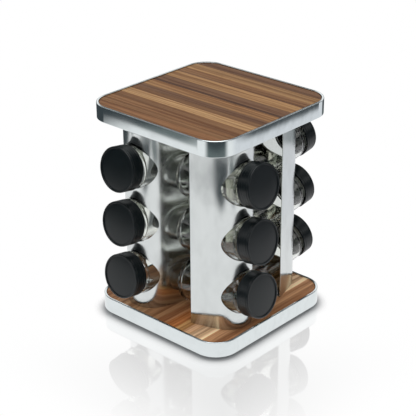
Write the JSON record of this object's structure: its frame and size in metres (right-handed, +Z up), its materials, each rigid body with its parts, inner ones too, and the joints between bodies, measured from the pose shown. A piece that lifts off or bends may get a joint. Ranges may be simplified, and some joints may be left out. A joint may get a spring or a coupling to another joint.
{
  "type": "spice carousel",
  "caption": "Square walnut-and-metal revolving spice rack: bent stainless towers hold tilted glass jars with black screw caps over a ball-bearing swivel.",
  "frame": {"origin": "on the table, under the middle of the swivel", "axes": "+Z up along the spin axis; the four jar columns point towards +X (right), +Y (back), -X (left) and -Y (front)"},
  "size_m": [0.2116, 0.2116, 0.2401],
  "materials": {
    "foot_rubber": "matte black anti-slip rubber",
    "swivel_steel": "zinc-plated pressed steel",
    "retainer_nylon": "natural nylon",
    "ball_steel": "polished steel balls",
    "screw_steel": "zinc-plated",
    "rim_aluminium": "polished band with fine lines along it",
    "core_board": "dark stained fibreboard",
    "walnut": "satin walnut strips, butcher-block glued",
    "panel_stainless": "satin-polished stainless sheet",
    "jar_glass": "clear glass",
    "sifter_plastic": "translucent white polyethylene",
    "cap_plastic": "satin black moulded plastic"
  },
  "bodies": {
    "base": {"rubber_feet": "foot_rubber", "swivel_base": "swivel_steel", "swivel_pivot": "swivel_steel"},
    "ball_cage": {"ball_retainer": "retainer_nylon", "bearing_balls": "ball_steel"},
    "tower": {"swivel_race": "swivel_steel", "race_screws": "screw_steel", "bottom_rim": "rim_aluminium", "bottom_core": "core_board", "bottom_wood": "walnut", "top_rim": "rim_aluminium", "top_core": "core_board", "top_wood": "walnut", "lower_screws": "screw_steel", "upper_screws": "screw_steel", "panel_right": "panel_stainless", "panel_back": "panel_stainless", "panel_left": "panel_stainless", "panel_front": "panel_stainless"},
    "jar_right_low": {"jar_right_low": "jar_glass", "sifter_right_low": "sifter_plastic"},
    "cap_right_low": {"cap_right_low": "cap_plastic"},
    "jar_right_mid": {"jar_right_mid": "jar_glass", "sifter_right_mid": "sifter_plastic"},
    "cap_right_mid": {"cap_right_mid": "cap_plastic"},
    "jar_right_top": {"jar_right_top": "jar_glass", "sifter_right_top": "sifter_plastic"},
    "cap_right_top": {"cap_right_top": "cap_plastic"},
    "jar_back_low": {"jar_back_low": "jar_glass", "sifter_back_low": "sifter_plastic"},
    "cap_back_low": {"cap_back_low": "cap_plastic"},
    "jar_back_mid": {"jar_back_mid": "jar_glass", "sifter_back_mid": "sifter_plastic"},
    "cap_back_mid": {"cap_back_mid": "cap_plastic"},
    "jar_back_top": {"jar_back_top": "jar_glass", "sifter_back_top": "sifter_plastic"},
    "cap_back_top": {"cap_back_top": "cap_plastic"},
    "jar_left_low": {"jar_left_low": "jar_glass", "sifter_left_low": "sifter_plastic"},
    "cap_left_low": {"cap_left_low": "cap_plastic"},
    "jar_left_mid": {"jar_left_mid": "jar_glass", "sifter_left_mid": "sifter_plastic"},
    "cap_left_mid": {"cap_left_mid": "cap_plastic"},
    "jar_left_top": {"jar_left_top": "jar_glass", "sifter_left_top": "sifter_plastic"},
    "cap_left_top": {"cap_left_top": "cap_plastic"},
    "jar_front_low": {"jar_front_low": "jar_glass", "sifter_front_low": "sifter_plastic"},
    "cap_front_low": {"cap_front_low": "cap_plastic"},
    "jar_front_mid": {"jar_front_mid": "jar_glass", "sifter_front_mid": "sifter_plastic"},
    "cap_front_mid": {"cap_front_mid": "cap_plastic"},
    "jar_front_top": {"jar_front_top": "jar_glass", "sifter_front_top": "sifter_plastic"},
    "cap_front_top": {"cap_front_top": "cap_plastic"}
  },
  "joints": [
    {"name": "tower_spin", "type": "hinge", "parent": "base", "child": "tower", "pos_m": [0, 0, 0.0092], "axis": [0, 0, 1], "continuous": true},
    {"name": "cage_spin", "type": "hinge", "parent": "base", "child": "ball_cage", "pos_m": [0, 0, 0.0059], "axis": [0, 0, 1], "continuous": true},
    {"name": "jar_right_low_slide", "type": "slide", "parent": "tower", "child": "jar_right_low", "axis": [0.9877, 0, 0.1564], "range_m": [0, 0.095]},
    {"name": "cap_right_low_off", "type": "slide", "parent": "jar_right_low", "child": "cap_right_low", "axis": [0.9877, 0, 0.1564], "range_m": [0, 0.03]},
    {"name": "jar_right_mid_slide", "type": "slide", "parent": "tower", "child": "jar_right_mid", "axis": [0.9877, 0, 0.1564], "range_m": [0, 0.095]},
    {"name": "cap_right_mid_off", "type": "slide", "parent": "jar_right_mid", "child": "cap_right_mid", "axis": [0.9877, 0, 0.1564], "range_m": [0, 0.03]},
    {"name": "jar_right_top_slide", "type": "slide", "parent": "tower", "child": "jar_right_top", "axis": [0.9877, 0, 0.1564], "range_m": [0, 0.095]},
    {"name": "cap_right_top_off", "type": "slide", "parent": "jar_right_top", "child": "cap_right_top", "axis": [0.9877, 0, 0.1564], "range_m": [0, 0.03]},
    {"name": "jar_back_low_slide", "type": "slide", "parent": "tower", "child": "jar_back_low", "axis": [0, 0.9877, 0.1564], "range_m": [0, 0.095]},
    {"name": "cap_back_low_off", "type": "slide", "parent": "jar_back_low", "child": "cap_back_low", "axis": [0, 0.9877, 0.1564], "range_m": [0, 0.03]},
    {"name": "jar_back_mid_slide", "type": "slide", "parent": "tower", "child": "jar_back_mid", "axis": [0, 0.9877, 0.1564], "range_m": [0, 0.095]},
    {"name": "cap_back_mid_off", "type": "slide", "parent": "jar_back_mid", "child": "cap_back_mid", "axis": [0, 0.9877, 0.1564], "range_m": [0, 0.03]},
    {"name": "jar_back_top_slide", "type": "slide", "parent": "tower", "child": "jar_back_top", "axis": [0, 0.9877, 0.1564], "range_m": [0, 0.095]},
    {"name": "cap_back_top_off", "type": "slide", "parent": "jar_back_top", "child": "cap_back_top", "axis": [0, 0.9877, 0.1564], "range_m": [0, 0.03]},
    {"name": "jar_left_low_slide", "type": "slide", "parent": "tower", "child": "jar_left_low", "axis": [-0.9877, 0, 0.1564], "range_m": [0, 0.095]},
    {"name": "cap_left_low_off", "type": "slide", "parent": "jar_left_low", "child": "cap_left_low", "axis": [-0.9877, 0, 0.1564], "range_m": [0, 0.03]},
    {"name": "jar_left_mid_slide", "type": "slide", "parent": "tower", "child": "jar_left_mid", "axis": [-0.9877, 0, 0.1564], "range_m": [0, 0.095]},
    {"name": "cap_left_mid_off", "type": "slide", "parent": "jar_left_mid", "child": "cap_left_mid", "axis": [-0.9877, 0, 0.1564], "range_m": [0, 0.03]},
    {"name": "jar_left_top_slide", "type": "slide", "parent": "tower", "child": "jar_left_top", "axis": [-0.9877, 0, 0.1564], "range_m": [0, 0.095]},
    {"name": "cap_left_top_off", "type": "slide", "parent": "jar_left_top", "child": "cap_left_top", "axis": [-0.9877, 0, 0.1564], "range_m": [0, 0.03]},
    {"name": "jar_front_low_slide", "type": "slide", "parent": "tower", "child": "jar_front_low", "axis": [0, -0.9877, 0.1564], "range_m": [0, 0.095]},
    {"name": "cap_front_low_off", "type": "slide", "parent": "jar_front_low", "child": "cap_front_low", "axis": [0, -0.9877, 0.1564], "range_m": [0, 0.03]},
    {"name": "jar_front_mid_slide", "type": "slide", "parent": "tower", "child": "jar_front_mid", "axis": [0, -0.9877, 0.1564], "range_m": [0, 0.095]},
    {"name": "cap_front_mid_off", "type": "slide", "parent": "jar_front_mid", "child": "cap_front_mid", "axis": [0, -0.9877, 0.1564], "range_m": [0, 0.03]},
    {"name": "jar_front_top_slide", "type": "slide", "parent": "tower", "child": "jar_front_top", "axis": [0, -0.9877, 0.1564], "range_m": [0, 0.095]},
    {"name": "cap_front_top_off", "type": "slide", "parent": "jar_front_top", "child": "cap_front_top", "axis": [0, -0.9877, 0.1564], "range_m": [0, 0.03]}
  ],
  "couplings": [
    {"joint": "cage_spin", "follows": "tower_spin", "ratio": 0.5}
  ]
}
